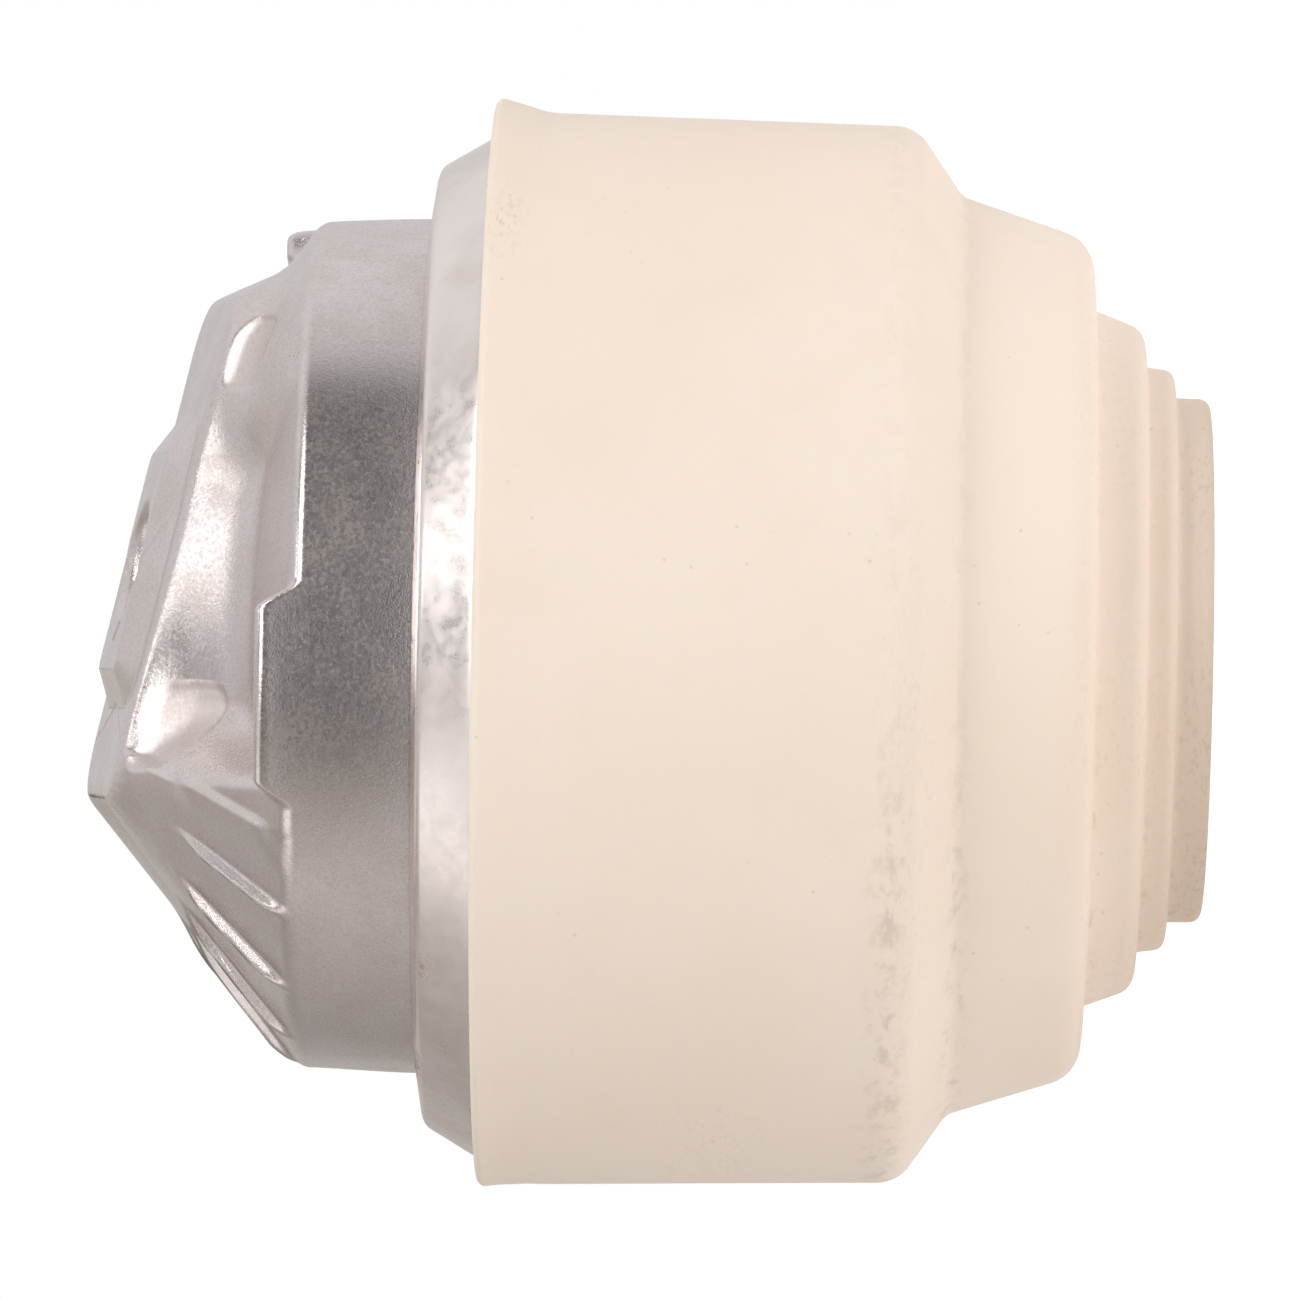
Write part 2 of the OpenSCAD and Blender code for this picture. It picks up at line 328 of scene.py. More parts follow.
def cap_material():
    s = Shader("cap")
    tone = s.mix(s.ramp(s.noise(30, 2), 0.3, 0.7), colour(247, 229, 213), colour(249, 233, 219))
    stain = s.ramp(s.noise(9, 4, 0.6), 0.5, 0.75)
    tone = s.mix(s.maths("MULTIPLY", stain, 0.25), tone, colour(240, 224, 206))
    # Painted shade in the inside corners between the steps, stronger towards -X, broken up by noise
    broken = s.ramp(s.noise(2.2, 5, 0.65, s.stretched((1, 1, 1.6))), 0.47, 0.66)
    corner_shade = s.maths("MULTIPLY", s.painted("corner_shade"), broken)
    tone = s.mix(s.maths("MULTIPLY", corner_shade, 0.34), tone, colour(176, 158, 142))
    scuff = s.maths("MULTIPLY", s.painted("scuff"),
                    s.ramp(s.noise(0.9, 5, 0.7, s.stretched((1, 1, 2.4))), 0.5, 0.72))
    tone = s.mix(s.maths("MULTIPLY", scuff, 0.5), tone, colour(168, 152, 140))
    # Sparse dark specks, and a sprinkle of very small ones
    cell = s.cells(6.5, "Color")
    chosen = s.add("ShaderNodeSeparateColor")
    s.link(cell, chosen.inputs[0])
    few = s.ramp(chosen.outputs[0], 0.90, 0.91)
    speck = s.maths("MULTIPLY", s.ramp(s.cells(6.5), 0.034, 0.020), few)
    tone = s.mix(s.maths("MULTIPLY", speck, 0.9), tone, colour(92, 74, 64))
    dust = s.maths("MULTIPLY", s.ramp(s.cells(1.9), 0.10, 0.06), s.ramp(s.noise(14, 2), 0.52, 0.6))
    tone = s.mix(s.maths("MULTIPLY", dust, 0.22), tone, colour(170, 150, 134))
    grain = s.noise(0.35, 4, 0.6)
    ripple = s.noise(7, 2, 0.4, s.stretched((1, 1, 0.25)))
    normal = s.bump(grain, 0.012, 0.5)
    normal = s.bump(ripple, 0.10, 0.35, normal)
    rough = s.ramp(s.noise(5, 3), 0.3, 0.7, 0.42, 0.55)
    return s.finish(Base_Color=tone, Roughness=rough, Normal=normal, Subsurface_Weight=0.12,
                    Subsurface_Radius=(0.004, 0.0025, 0.0015), Subsurface_Scale=0.4, Specular_IOR_Level=0.35)


def pressed_aluminium(name="pot"):
    s = Shader(name)
    fine, coarse = s.noise(0.13, 2, 0.6), s.noise(0.34, 3, 0.6)
    cloud = s.noise(6, 4, 0.6)
    tone = s.mix(s.ramp(cloud, 0.35, 0.7), colour(226, 217, 217), colour(218, 207, 203))
    tone = s.mix(s.ramp(coarse, 0.4, 0.75, 0.0, 0.3), tone, colour(190, 180, 176))
    tone = s.mix(s.ramp(fine, 0.56, 0.72, 0.0, 0.5), tone, colour(252, 250, 250))
    rough = s.maths("ADD", s.ramp(coarse, 0.3, 0.7, 0.19, 0.27), s.ramp(cloud, 0.3, 0.7, 0.0, 0.05))
    normal = s.bump(fine, 0.012, 1.0)
    normal = s.bump(coarse, 0.016, 0.8, normal)
    normal = s.bump(s.noise(3.0, 2, 0.5), 0.04, 0.25, normal)
    # The pressed scoops are duller than the rest
    rough = s.maths("ADD", rough, s.maths("MULTIPLY", s.painted("scoop"), 0.3))
    return s.finish(Base_Color=tone, Metallic=1.0, Roughness=rough, Normal=normal)


def plated_steel():
    s = Shader("plated")
    streak = s.noise(1.2, 4, 0.6)
    cloud = s.noise(8, 3, 0.55)
    tone = s.mix(s.ramp(cloud, 0.35, 0.7), colour(244, 235, 232), colour(232, 222, 217))
    worn = s.maths("MULTIPLY", s.ramp(s.noise(0.6, 5, 0.7), 0.5, 0.72), s.painted("worn"))
    tone = s.mix(s.maths("MULTIPLY", worn, 0.30), tone, colour(128, 120, 114))
    # Painted shade: a dark line where the ring's inner edge meets the pot's cylinder
    seam_shade = s.maths("MULTIPLY", s.painted("seam_shade"), s.ramp(s.noise(1.5, 4, 0.6), 0.25, 0.55, 0.55, 1.0))
    tone = s.mix(s.maths("MULTIPLY", seam_shade, 0.85), tone, colour(88, 78, 72))
    rust = s.maths("MULTIPLY", s.painted("rust"), s.ramp(s.noise(0.45, 5, 0.7), 0.44, 0.56))
    tone = s.mix(rust, tone, colour(112, 66, 34))
    metal = s.maths("SUBTRACT", 1.0, rust)
    rough = s.maths("ADD", s.ramp(streak, 0.3, 0.7, 0.26, 0.36), s.maths("MULTIPLY", rust, 0.5))
    normal = s.bump(s.noise(0.5, 4, 0.6), 0.006, 0.6)
    normal = s.bump(s.noise(7, 2, 0.4), 0.05, 0.3, normal)
    return s.finish(Base_Color=tone, Metallic=metal, Roughness=rough, Normal=normal)


def plain_steel():
    s = Shader("steel")
    tone = s.mix(s.ramp(s.noise(5, 4), 0.35, 0.7), colour(176, 174, 172), colour(150, 147, 144))
    brushed = s.noise(0.3, 4, 0.6, s.stretched((1, 1, 8)))
    rough = s.ramp(brushed, 0.3, 0.7, 0.26, 0.42)
    normal = s.bump(brushed, 0.006, 0.6)
    return s.finish(Base_Color=tone, Metallic=1.0, Roughness=rough, Normal=normal)


def coated_steel():
    s = Shader("coated_steel")
    tone = s.mix(s.ramp(s.noise(4, 4), 0.35, 0.7), colour(44, 44, 46), colour(58, 57, 58))
    peel = s.noise(0.8, 3, 0.5)
    rough = s.ramp(s.noise(2, 3), 0.3, 0.7, 0.34, 0.46)
    return s.finish(Base_Color=tone, Roughness=rough, Normal=s.bump(peel, 0.02, 0.5), Specular_IOR_Level=0.5)


def rubber():
    s = Shader("rubber")
    tone = s.mix(s.ramp(s.noise(3, 4), 0.35, 0.7), colour(26, 26, 27), colour(40, 39, 39))
    rough = s.ramp(s.noise(1.5, 3), 0.3, 0.7, 0.55, 0.75)
    normal = s.bump(s.noise(0.4, 4, 0.6), 0.02, 0.6)
    return s.finish(Base_Color=tone, Roughness=rough, Normal=normal)


def black_plastic():
    s = Shader("plastic")
    tone = s.mix(s.ramp(s.noise(4, 3), 0.35, 0.7), colour(40, 42, 45), colour(52, 54, 57))
    rough = s.ramp(s.noise(2, 3), 0.3, 0.7, 0.38, 0.5)
    normal = s.bump(s.noise(0.25, 3, 0.6), 0.008, 0.6)
    return s.finish(Base_Color=tone, Roughness=rough, Normal=normal)


# ---------------------------------------------------------------- cap

# Outside of the cap from the middle of its base to its lip: radius, height, corner radius
CAP_PATH = [
    [0, 0, 0],
    [20.9, 0, 0.9], [20.95, 2.8, 0.25],
    [23.1, 2.95, 0.9], [23.4, 5.25, 0.25],
    [26.3, 5.3, 1.8], [27.8, 9.3, 0.3],
    [33.3, 9.6, 3.2], [36.7, 20.0, 1.6],
    [42.2, 23.8, 3.2],
    [42.8, 53.0, 6.0],
    [43.75, 56.9, 0.45], [43.2, 57.4, 0.25],
]


def cap_unevenness(turn, z, r):
    """Slow waves of the thin wall, and a lip that flares more towards +X."""
    body = waves(turn, z, 0.045, 7, 5, 0.08)
    flare = smoothstep(52, 57, z) * (-0.28 + 0.40 * np.cos(turn) + waves(turn, z, 0.06, 5, 7, 0.1))
    steps = smoothstep(22, 8, z) * waves(turn, z, 0.05, 6, 6, 0.25)
    return body + flare + steps


def build_cap():
    outside = rounded(CAP_PATH, steps=9, longest=0.9)
    inner = inset(CAP_PATH[:-1], CAP_WALL)
    inner[-1] = [42.75, 56.95, 0]
    inside = rounded(inner, steps=6, longest=1.6)
    profile = np.vstack([outside, inside[::-1]])
    obj = lathe("cap_shell", profile, 360, cap_unevenness)
    p = vertices(obj)
    r, z, turn = np.hypot(p[:, 0], p[:, 1]), p[:, 2], np.arctan2(p[:, 1], p[:, 0])
    # Painted shade: darker in the inside corners between the steps, and more so towards -X
    corners = [(20.95, 2.8, 0.5), (23.4, 5.25, 0.5), (27.8, 9.35, 0.6), (36.7, 20.1, 1.0), (41.9, 25.2, 1.4)]
    corner_shade = sum(np.exp(-(((r - cr) ** 2 + (z - cz) ** 2) / w ** 2)) for cr, cz, w in corners)
    corner_shade = corner_shade * (0.22 + 0.78 * smoothstep(0, -22, p[:, 0]))
    base = smoothstep(3.4, 0.4, z)
    patches = waves(turn, z, 0.5, 6, 9, 0.3)
    scuffed = (0.35 * smoothstep(27.5, 25, z) * smoothstep(21, 23.5, z) + 0.5 * base
               + 0.25 * smoothstep(13, 9.8, z)) * np.clip(0.6 + patches, 0, 1.2)
    smudge = np.exp(-(((p[:, 0] - 33.2) / 2.6) ** 2 + ((z - 55.8) / 1.3) ** 2)) * (p[:, 1] < 0)
    streaks = 0.5 * np.exp(-(((p[:, 0] + 39) / 3.5) ** 2 + ((z - 38) / 4) ** 2)) * (p[:, 1] < 0)
    paint(obj, "corner_shade", np.clip(corner_shade, 0, 1))
    paint(obj, "scuff", np.clip(scuffed + smudge + streaks, 0, 1))
    obj.data.materials.append(cap_material())
    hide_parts("cap")
    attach(obj, "cap")
    return obj


# ---------------------------------------------------------------- pot

def seat_height(x, y):
    """Height of the seat's plane over a point."""
    normal = np.array([math.sin(SEAT_INCLINE) * math.cos(SEAT_ROLL), -math.sin(SEAT_ROLL),
                       math.cos(SEAT_INCLINE) * math.cos(SEAT_ROLL)])
    return SEAT[2] - (normal[0] * (x - SEAT[0]) + normal[1] * y) / normal[2]


def seat_outline():
    """Points round the seat in plan: a rectangle with rounded corners."""
    x0 = SEAT[0] - SEAT_HIGH_END * math.cos(SEAT_INCLINE)
    x1 = SEAT[0] + SEAT_LOW_END * math.cos(SEAT_INCLINE)
    w, c = SEAT_HALF_W, SEAT_CORNER
    corners = [[x0, -w, c], [x1, -w, c], [x1, w, c], [x0, w, c]]
    return rounded(corners, steps=9, longest=1.2)


def outside_rounded(x, y, half_x, half_y, corner):
    """Distance out of a rounded rectangle, and below 0 inside it."""
    qx, qy = np.abs(x) - half_x + corner, np.abs(y) - half_y + corner
    return np.hypot(np.maximum(qx, 0), np.maximum(qy, 0)) + np.minimum(np.maximum(qx, qy), 0) - corner


def hull_height(x, y, rim_r, rim_z):
    """Height of the dome that is stretched from the seat's outline to the rim."""
    outline = seat_outline()
    best = np.full(x.shape, -1e9)
    for sx, sy in outline:
        sz = seat_height(sx, sy)
        dx, dy = x - sx, y - sy
        a = dx * dx + dy * dy + 1e-9
        b = sx * dx + sy * dy
        reach = (-b + np.sqrt(np.maximum(b * b - a * (sx * sx + sy * sy - rim_r ** 2), 0))) / a
        best = np.maximum(best, sz + (rim_z - sz) / np.maximum(reach, 1))
    # Over the seat itself the dome stays above the seat's plane
    low, high = outline.min(0), outline.max(0)
    middle, half = (low + high) / 2, (high - low) / 2
    out = outside_rounded(x - middle[0], y - middle[1], half[0], half[1], SEAT_CORNER)
    return np.where(out < 0, seat_height(x, y) - 0.6 * out, best)


def rim_edge(turn):
    """Height of the rim: a little lower under the seat's low end, and higher under its high end."""
    return 71.35 - 0.4 * smoothstep(0.75, 0.97, np.cos(turn)) + 0.3 * smoothstep(0.25, 0.7, -np.cos(turn))


def side_walls(x, y, ledge, dome):
    """The walls that drop from the seat's edges to the ledge, on both sides and round its low end."""
    end = SEAT[0] + SEAT_LOW_END * math.cos(SEAT_INCLINE)
    qx = x - (end - SEAT_CORNER)
    qy = np.abs(y) - (SEAT_HALF_W - SEAT_CORNER)
    px, py = np.maximum(qx, 0), np.maximum(qy, 0)
    reach = np.hypot(px, py)
    out = reach + np.minimum(np.maximum(qx, qy), 0) - SEAT_CORNER
    # The long walls bulge gently in the middle
    out = out + (1 - smoothstep(16, 21, x)) * (x - 8.3) ** 2 / 90 * smoothstep(-1, 2, out)
    nx, ny = px / np.maximum(reach, 1e-6), py / np.maximum(reach, 1e-6) * np.sign(y)
    past = 0.5 * (out + np.hypot(out, 0.35))
    slope = 1.35 + 0.9 * nx ** 2 - 0.45 * (y > 0) * ny ** 2
    wall = seat_height(x - nx * past, y - ny * past) - slope * past
    # Towards the high end the wall turns into the fan, and the ledge ends in a low step
    wall = wall + (dome - wall) * smoothstep(-4.5, -11.5, x)
    floor = soft_max(wall, ledge, 2.2)
    finish = -10.9 - 0.33 * (np.abs(y) - 18)
    return np.where(x > finish, floor, soft_min(dome, floor + 3.0 * (finish - x), 0.4))


def pocket(x, y, centre, half_long, half_wide, depth):
    """A scoop pressed into both long walls, just under the seat's edge: deep there and shallow below."""
    along = (x - SEAT[0]) / math.cos(SEAT_INCLINE) - centre
    out = np.abs(y) - SEAT_HALF_W - 0.5
    q = (np.abs(along / half_long) ** 4 + np.abs(out / half_wide - 1) ** 4) ** 0.25
    return np.maximum(depth - 0.14 * out, 0) * smoothstep(1.0, 0.75, q)


def scoops(x, y):
    """Depth of the scoops near the seat's low end and near its high end, on both sides."""
    return pocket(x, y, 17.0, 3.2, 1.9, 0.7) + pocket(x, y, -13.4, 3.9, 1.9, 0.8)


def head_height(x, y):
    """Height of the outside of the pressed head over a point, in mm."""
    r, turn = np.hypot(x, y), np.arctan2(y, x)
    rim = rim_edge(turn)
    seat = seat_height(x, y)
    low_side = smoothstep(0.62, 0.95, np.cos(turn))
    ledge = rim + (RIM_R - r) * (0.25 + 0.45 * low_side)
    dome = soft_min(seat, hull_height(x, y, RIM_R, 71.6), 1.0)
    h = soft_min(dome, side_walls(x, y, ledge, dome), 0.3)
    h = h - scoops(x, y)

    # The low step where the recess ends and the fan begins
    past = x + 9.7 + 0.39 * (np.abs(y) - 17)
    step = smoothstep(0.4, -0.2, past) * smoothstep(-5, -0.2, past)
    h = h + 0.55 * step * smoothstep(17, 20, np.abs(y)) * smoothstep(29.5, 27, np.abs(y))

    # Ribs that fan out over the high side, each starting as a crease and ending round at the rim
    for i in range(RIB_COUNT):
        angle = math.radians(RIB_PITCH * (i - (RIB_COUNT - 1) / 2))
        start = 20.8 * np.array([-math.cos(0.93 * angle), math.sin(0.93 * angle)])
        foot = 33.6 * np.array([-math.cos(angle), math.sin(angle)])
        way = foot - start
        t = ((x - start[0]) * way[0] + (y - start[1]) * way[1]) / (way @ way)
        off = np.abs((x - start[0]) * way[1] - (y - start[1]) * way[0]) / np.linalg.norm(way)
        half = 0.42 + 0.38 * np.clip(t, 0, 1)
        shape = np.cos(np.clip(off / half, 0, 1) * np.pi / 2) ** 2
        h = h + 1.1 * shape * smoothstep(0.0, 0.45, t) * np.sqrt(np.clip((1.0 - t) / 0.1, 0, 1))

    # Lugs: the cylinder's wall carried up past the rim
    for i in range(3):
        middle = math.radians(270 - LUG_OFFSET + 120 * i)
        away = np.abs((turn - middle + math.pi) % (2 * math.pi) - math.pi) * RIM_R
        half = math.radians(LUG_TURN / 2) * RIM_R
        inner = RIM_R - LUG_W
        up = smoothstep(half + 1.2, half - 1.2, away) * smoothstep(inner - 0.9, inner + 0.5, r)
        h = h + np.maximum(LUG_TOP - h, 0) * up

    # Raised pad with rounded corners, and the rolled edge of its hole
    along = (x - SEAT[0]) / math.cos(SEAT_INCLINE)
    across = y / math.cos(SEAT_ROLL)
    outside = outside_rounded(along, across, PAD_HALF_L, PAD_HALF_W, PAD_CORNER)
    h = h + PAD_H * np.clip(0.5 - outside / 3.2, 0, 1)
    hole = np.hypot(along, across)
    h = h - 0.6 * smoothstep(THREAD_R + 1.0, THREAD_R, hole)

    # Rounded rim
    round_r = 0.8
    into = np.clip(r - (wall_radius(71.0) - round_r), 0, round_r)
    return h - (round_r - np.sqrt(round_r ** 2 - into ** 2))


def wall_radius(z):
    """The cylinder's wall, which tapers a little towards the rim."""
    return POT_R - 0.35 * smoothstep(62, 73, z)


# The flange at the cylinder's foot, from outside to inside: radius, height
FLANGE_PATH = [(35.2, 60.95), (37, 60.2), (38, FOOT_Z), (33.5, FOOT_Z), (POT_R - POT_WALL, FOOT_Z)]


def build_pot():
    cols = 720
    turn = np.arange(cols) * 2 * np.pi / cols
    edge_r = wall_radius(71.0)
    radii = np.concatenate([np.linspace(0.2, edge_r - 0.8, 170),
                            edge_r - 0.8 + 0.8 * np.sin(np.linspace(0, 1, 9)[1:] * np.pi / 2)])
    x, y = radii[:, None] * np.cos(turn), radii[:, None] * np.sin(turn)
    top = head_height(x, y)
    rows = [np.stack([x, y, top], -1)]

    # The cylinder's wall, down to the foot that the crimp ring holds
    drop = np.linspace(0, 1, 26)[1:, None]
    z = top[-1] * (1 - drop) + 61.3 * drop
    r = wall_radius(z) + waves(turn[None, :], z, 0.02, 5, 4, 0.2)
    r = edge_r + (r - edge_r) * smoothstep(0, 0.12, drop)
    rows.append(np.stack([r * np.cos(turn), r * np.sin(turn), z], -1))
    for fr, fz in FLANGE_PATH:
        rows.append(np.stack([fr * np.cos(turn), fr * np.sin(turn), np.full(cols, fz)], -1)[None])

    # Inside: the same sheet, one wall's thickness below
    inner_r = POT_R - POT_WALL
    rise = np.linspace(0, 1, 8)[1:-1, None]
    ix, iy = inner_r * np.cos(turn), inner_r * np.sin(turn)
    under = inner_height(ix[None, :], iy[None, :])
    z = FOOT_Z * (1 - rise) + under * rise
    rows.append(np.stack([np.broadcast_to(ix, z.shape), np.broadcast_to(iy, z.shape), z], -1))
    radii = np.linspace(inner_r, 0.2, 90)[:, None]
    x, y = radii * np.cos(turn), radii * np.sin(turn)
    rows.append(np.stack([x, y, inner_height(x, y)], -1))

    rows = np.vstack(rows)
    first = np.broadcast_to(np.array([0, 0, top[0].mean()]), rows[:1].shape)
    last = np.broadcast_to(np.array([0, 0, rows[-1, :, 2].mean()]), rows[:1].shape)
    obj = revolved("pot_shell", np.vstack([first, rows, last]))
    drill(obj)
    p = vertices(obj)
    paint(obj, "scoop", np.clip(2 * scoops(p[:, 0], p[:, 1]), 0, 1))
    obj.data.materials.append(pressed_aluminium())
    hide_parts("pot")
    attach(obj, "housing")
    return obj


def inner_height(x, y):
    """Inside of the head: the outside, lowered by the sheet's thickness along its slope.

    x and y are a grid of rings. A single ring has no slope to measure, so it takes the plain thickness.
    """
    shrink = (RIM_R - 1.2) / (POT_R - POT_WALL)
    h = head_height(x * shrink, y * shrink)
    lowest = np.minimum(h, head_height(x, y))
    r = np.hypot(x, y)
    slope = 0 * r
    if len(x) > 2:
        slope = np.hypot(np.gradient(h, axis=0) / np.gradient(r, axis=0),
                         np.gradient(h, axis=1) / (np.maximum(r, 1) * 2 * np.pi / x.shape[1]))
    return lowest - POT_WALL * np.clip(np.sqrt(1 + slope ** 2), 1, 1.6)


def drill(obj):
    """Cuts the seat's hole through the head."""
    hole = np.array([[THREAD_R, -9.0], [THREAD_R, 9.0]])
    turn = np.arange(96) * 2 * np.pi / 96
    rows = np.stack([hole[:, :1] * np.cos(turn), hole[:, :1] * np.sin(turn),
                     np.broadcast_to(hole[:, 1:], (2, 96))], -1)
    ends = [np.broadcast_to([0, 0, z], (1, 96, 3)) for z in hole[:, 1]]
    cutter = revolved("drill", np.vstack([ends[0], rows, ends[1]]))
    tilt = Matrix.Rotation(SEAT_INCLINE, 4, "Y") @ Matrix.Rotation(SEAT_ROLL, 4, "X")
    cutter.matrix_world = Matrix.Translation(Vector(SEAT * MM)) @ tilt
    cut = obj.modifiers.new("hole", "BOOLEAN")
    cut.operation = "DIFFERENCE"
    cut.solver = "EXACT"
    cut.object = cutter
    bake_modifiers(obj)
    bpy.data.objects.remove(cutter)


def bake_modifiers(obj):
    """Replaces the mesh by what its modifiers make of it."""
    bpy.context.view_layer.update()
    dg = bpy.context.evaluated_depsgraph_get()
    mesh = bpy.data.meshes.new_from_object(obj.evaluated_get(dg))
    obj.modifiers.clear()
    obj.data = mesh


# ---------------------------------------------------------------- crimp ring

# Round the ring's sheet, outside first: radius, height, corner radius
RING_PATH = [
    [34.45, 62.2, 0.35], [38.3, 61.6, 1.2], [41.2, 56.7, 4.5],
    [41.3, 43.5, 0.8], [38.1, 43.5, 0.3], [38.1, 45.0, 0.3], [39.8, 45.0, 0.3], [39.8, 54.6, 1.0],
    [38.5, 57.4, 1.5], [37.1, 60.3, 0.4], [34.5, 61.2, 0.3],
]


def ring_unevenness(turn, z, r):
    edge = smoothstep(37, 34.6, r) * smoothstep(60, 62, z)
    return waves(turn, z, 0.02, 6, 9, 0.3) + edge * waves(turn, z, 0.07, 6, 14, 0.1)


def build_crimp_ring():
    profile = rounded(RING_PATH, steps=7, longest=0.7)
    obj = lathe("crimp_ring_rolled", profile[::-1], 360, ring_unevenness, closed=True)
    p = vertices(obj)
    r, z = np.hypot(p[:, 0], p[:, 1]), p[:, 2]
    edge = np.exp(-((r - 34.8) / 0.8) ** 2) * (z > 61)
    spots = [(-16.5, 63.0, 2.6, 0.5, 1.0), (-33.0, 62.0, 1.6, 0.7, 1.0), (-25.0, 61.0, 1.6, 0.5, 0.7),
             (-31.0, 59.3, 1.2, 0.6, 0.5), (12.0, 63.0, 1.2, 0.3, 0.5), (28.0, 62.8, 1.5, 0.3, 0.6)]
    rust = sum(k * np.exp(-(((p[:, 0] - sx) / a) ** 2 + ((z - sz) / b) ** 2)) for sx, sz, a, b, k in spots)
    paint(obj, "rust", np.clip(rust * (p[:, 1] < 8), 0, 1))
    # Painted shade along the ring's inner edge, against the cylinder
    paint(obj, "seam_shade", np.exp(-((r - 34.4) / 0.45) ** 2) * (z > 61))
    paint(obj, "worn", np.clip(0.1 + 0.6 * edge + 0.6 * smoothstep(-24, -40, p[:, 0]), 0, 1))
    obj.data.materials.append(plated_steel())
    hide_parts("crimp_ring")
    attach(obj, "housing")
    return obj


# ---------------------------------------------------------------- rubber spring

# Round the rubber cone, outside first: radius, height, corner radius
SPRING_PATH = [
    [34.3, 48.4, 0], [31.05, 38.0, 0.5], [29.2, 36.2, 1.5], [22, 34.9, 5.0], [15.15, 33.6, 0],
    [10.35, 44.2, 0.4], [12.4, 46.2, 1.2], [19, 45.0, 5.0], [27, 46.6, 4.0], [31.5, 48.1, 0.6],
]


def build_main_spring():
    profile = rounded(SPRING_PATH, steps=8, longest=0.8)
    obj = lathe("main_spring_rubber", profile[::-1], 180, closed=True)
    obj.data.materials.append(MATERIALS["rubber"])
    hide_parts("main_spring")
    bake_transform(obj)
    return obj


# ---------------------------------------------------------------- carried-over CAD nodes

def dress(node, material, bevel_mm=0.25):
    """A CAD node with rounded edges and a proper material."""
    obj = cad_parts[node]
    obj.data.materials.clear()
    obj.data.materials.append(MATERIALS[material])
    edge = obj.modifiers.new("edge", "BEVEL")
    edge.width = bevel_mm * MM
    edge.segments = 2
    edge.limit_method = "ANGLE"
    edge.angle_limit = math.radians(40)
    return obj


# ---------------------------------------------------------------- stage

SHEET_GLOW = 0.25


def build_stage():
    size = 4.0
    mesh = bpy.data.meshes.new("floor")
    mesh.from_pydata([(-size, -size, 0), (size, -size, 0), (size, size, 0), (-size, size, 0)], [],
                     [(0, 1, 2, 3)])
    floor = bpy.data.objects.new("floor", mesh)
    floor.location.z = -0.00002
    bpy.context.scene.collection.objects.link(floor)
    s = Shader("floor")
    paper = s.ramp(s.noise(60, 3), 0.3, 0.7, 0.86, 0.9)
    # The sheet the part stands on glows softly, and fades into the unlit room around it
    away = s.add("ShaderNodeVectorMath", operation="LENGTH")
    s.link(s.mm.outputs[0], away.inputs[0])
    glow = s.ramp(away.outputs["Value"], 110, 330, SHEET_GLOW, 0.0)
    material = s.finish(Base_Color=paper, Roughness=0.9, Specular_IOR_Level=0.0,
                        Emission_Color=(1, 1, 1, 1), Emission_Strength=glow)
    # Most of what the lens sees of the paper is an even white, so that its far edge doesn't show
    even = s.add("ShaderNodeEmission")
    even.inputs["Strength"].default_value = 1.25
    path, blend = s.add("ShaderNodeLightPath"), s.add("ShaderNodeMixShader")
    s.link(s.maths("MULTIPLY", path.outputs["Is Camera Ray"], 0.8), blend.inputs[0])
    s.link(s.bsdf.outputs[0], blend.inputs[1])
    s.link(even.outputs[0], blend.inputs[2])
    s.link(blend.outputs[0], s.tree.nodes["Material Output"].inputs["Surface"])
    floor.data.materials.append(material)


def aim(obj, position, target=(0, 0, 0.045)):
    obj.location = Vector(position)
    obj.rotation_mode = "QUATERNION"
    obj.rotation_quaternion = (Vector(target) - obj.location).to_track_quat("-Z", "Y")


def softbox(name, position, width, height, power):
    light = bpy.data.lights.new(name, "AREA")
    light.shape = "RECTANGLE"
    light.size, light.size_y = width, height
    light.energy = power
    obj = bpy.data.objects.new(name, light)
    bpy.context.scene.collection.objects.link(obj)
    aim(obj, position)
    return obj


# Brightness of the room round the part, by its angle from the camera's side towards +X
ROOM = [
    (-180, 0.62), (-130, 0.36), (-95, 0.48), (-65, 0.64), (-45, 0.42), (-30, 0.165), (-12, 0.085),
    (71, 0.085), (87, 0.70), (120, 0.84), (180, 0.64),
]


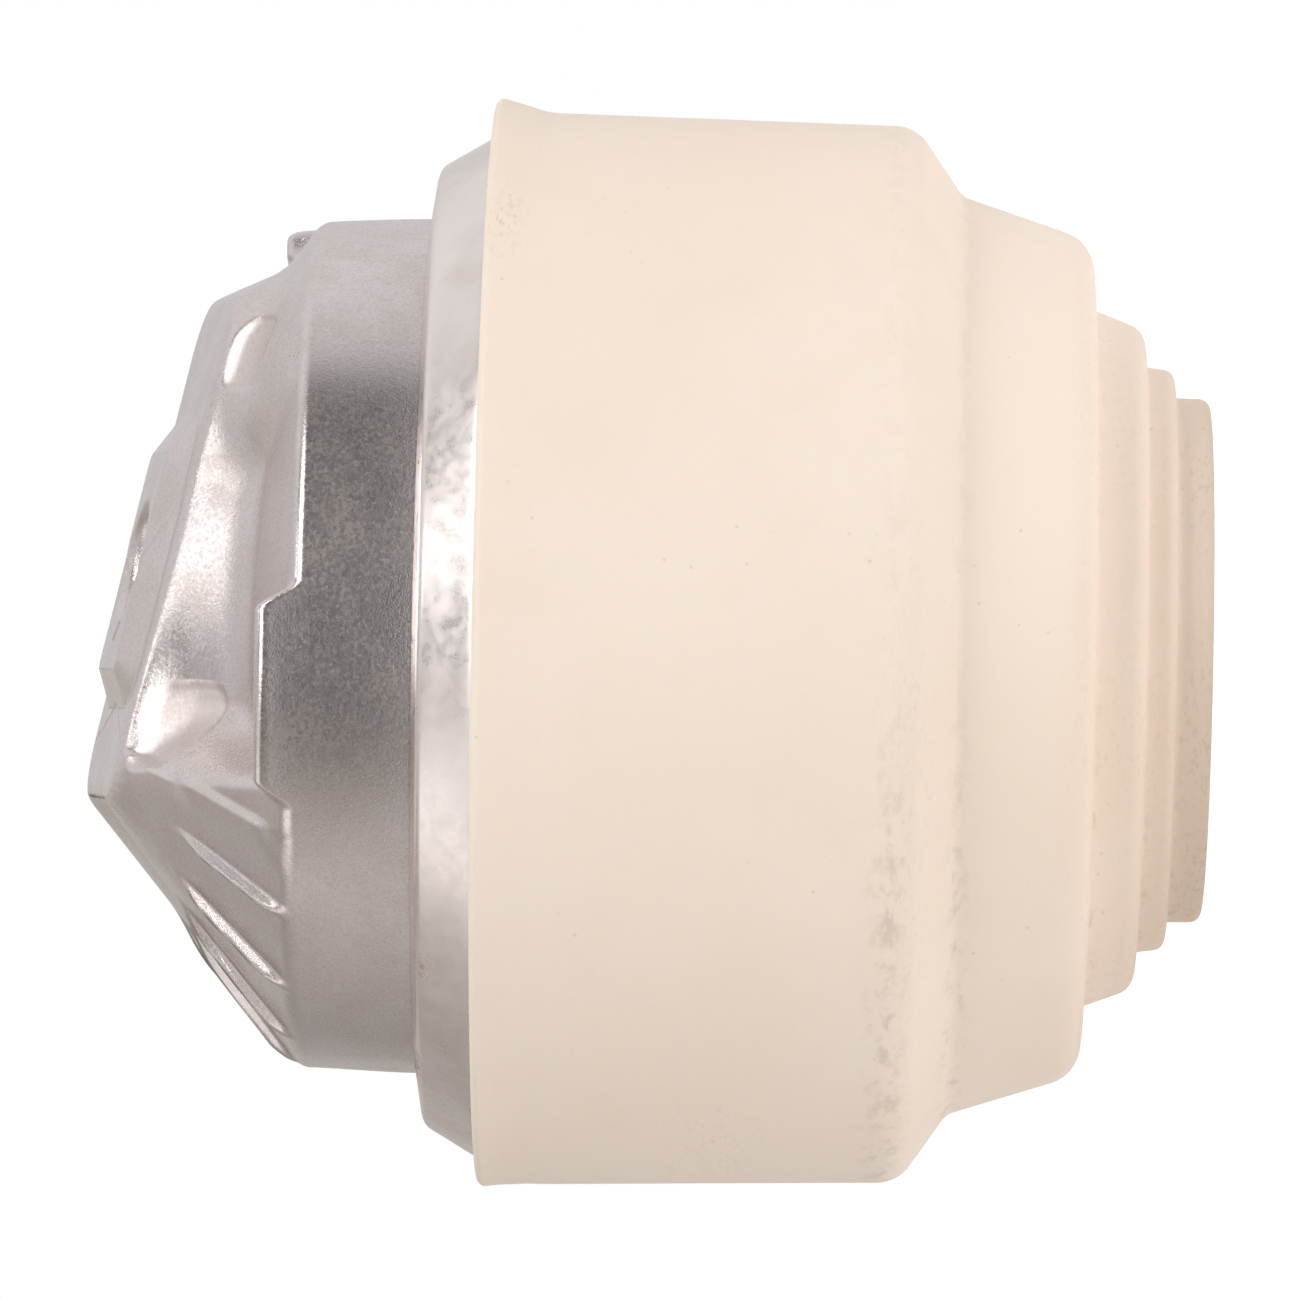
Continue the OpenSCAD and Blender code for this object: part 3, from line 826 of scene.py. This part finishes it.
def build_world():
    world = bpy.data.worlds.new("studio")
    bpy.context.scene.world = world
    world.use_nodes = True
    nodes, links = world.node_tree.nodes, world.node_tree.links
    nodes.clear()

    def add(kind, **settings):
        node = nodes.new(kind)
        for key, value in settings.items():
            setattr(node, key, value)
        return node

    direction, split = add("ShaderNodeTexCoord"), add("ShaderNodeSeparateXYZ")
    links.new(direction.outputs["Generated"], split.inputs[0])
    front = add("ShaderNodeMath", operation="MULTIPLY")
    links.new(split.outputs["Y"], front.inputs[0])
    front.inputs[1].default_value = -1
    angle = add("ShaderNodeMath", operation="ARCTAN2")
    links.new(split.outputs["X"], angle.inputs[0])
    links.new(front.outputs[0], angle.inputs[1])
    turn = add("ShaderNodeMath", operation="MULTIPLY_ADD")
    links.new(angle.outputs[0], turn.inputs[0])
    turn.inputs[1].default_value = 1 / (2 * math.pi)
    turn.inputs[2].default_value = 0.5
    room = add("ShaderNodeValToRGB")
    links.new(turn.outputs[0], room.inputs[0])
    stops = room.color_ramp.elements
    while len(stops) < len(ROOM):
        stops.new(0.5)
    for stop, (degrees, level) in zip(stops, ROOM):
        stop.position = degrees / 360 + 0.5
        warm = 1.0 if degrees < -20 else 0.0
        stop.color = (level, level * (1 - 0.04 * warm), level * (1 - 0.09 * warm), 1)

    out = add("ShaderNodeOutputWorld")
    seen, lit = add("ShaderNodeBackground"), add("ShaderNodeBackground")
    seen.inputs["Color"].default_value = (1, 1, 1, 1)
    # The ceiling is pale whichever way round it is seen
    ceiling = add("ShaderNodeMapRange", interpolation_type="SMOOTHSTEP")
    links.new(split.outputs["Z"], ceiling.inputs["Value"])
    ceiling.inputs["From Min"].default_value = 0.955
    ceiling.inputs["From Max"].default_value = 0.985
    shade = add("ShaderNodeMix", data_type="RGBA")
    links.new(ceiling.outputs["Result"], shade.inputs[0])
    links.new(room.outputs[0], shade.inputs[6])
    shade.inputs[7].default_value = (0.62, 0.62, 0.62, 1)
    links.new(shade.outputs[2], lit.inputs["Color"])
    path, mix = add("ShaderNodeLightPath"), add("ShaderNodeMixShader")
    links.new(path.outputs["Is Camera Ray"], mix.inputs[0])
    links.new(lit.outputs[0], mix.inputs[1])
    links.new(seen.outputs[0], mix.inputs[2])
    links.new(mix.outputs[0], out.inputs["Surface"])


def toward(round_deg, up_deg, distance):
    """A place at an angle round from the camera's side towards +X, and an angle up."""
    a, e = math.radians(round_deg), math.radians(up_deg)
    return (distance * math.cos(e) * math.sin(a), -distance * math.cos(e) * math.cos(a),
            0.045 + distance * math.sin(e))


def build_lights():
    softbox("key", toward(26, 40, 1.5), 1.6, 0.6, 13.4)
    softbox("high", toward(40, 70, 1.5), 0.28, 0.40, 1.0)
    softbox("low", toward(-45, 55, 1.5), 1.2, 0.8, 1.7)
    build_world()


def build_camera():
    """A long lens square to the axis, rolled so that +Z points to the picture's left."""
    distance, field = 0.877, 0.104
    elevation, roll = math.radians(-0.94), math.radians(1.05)
    target = Vector((0.00004, 0, 0.04435))
    back = Vector((0, -math.cos(elevation), math.sin(elevation)))
    up = Vector((1, 0, 0))
    right = up.cross(back)
    turned_up = up * math.cos(roll) - right * math.sin(roll)
    turned_right = right * math.cos(roll) + up * math.sin(roll)
    data = bpy.data.cameras.new("camera")
    data.sensor_width = 36
    data.lens = 36 * distance / field
    data.clip_start, data.clip_end = 0.05, 20
    camera = bpy.data.objects.new("camera", data)
    bpy.context.scene.collection.objects.link(camera)
    axes = Matrix((turned_right, turned_up, back)).transposed().to_4x4()
    camera.matrix_world = Matrix.Translation(target + back * distance) @ axes
    bpy.context.scene.camera = camera
    bpy.context.scene.view_settings.view_transform = "Standard"


# ---------------------------------------------------------------- build

build_camera()
MATERIALS = {
    "steel": plain_steel(),
    "coated": coated_steel(),
    "rubber": rubber(),
    "plastic": black_plastic(),
    "aluminium": pressed_aluminium("core_aluminium"),
}
build_cap()
build_pot()
build_crimp_ring()
build_main_spring()
for node, material in {
    "seat_nut": "steel", "diaphragm": "rubber", "diaphragm_ring": "steel", "lower_track_plate": "plastic",
    "decoupler": "rubber", "upper_track_plate": "plastic", "track_seal": "rubber", "spring_ring": "steel",
    "core": "aluminium", "stop_plate": "steel", "rebound_buffer": "rubber", "stop_cover": "coated",
    "locator_pin": "steel",
}.items():
    dress(node, material)
build_stage()
build_lights()
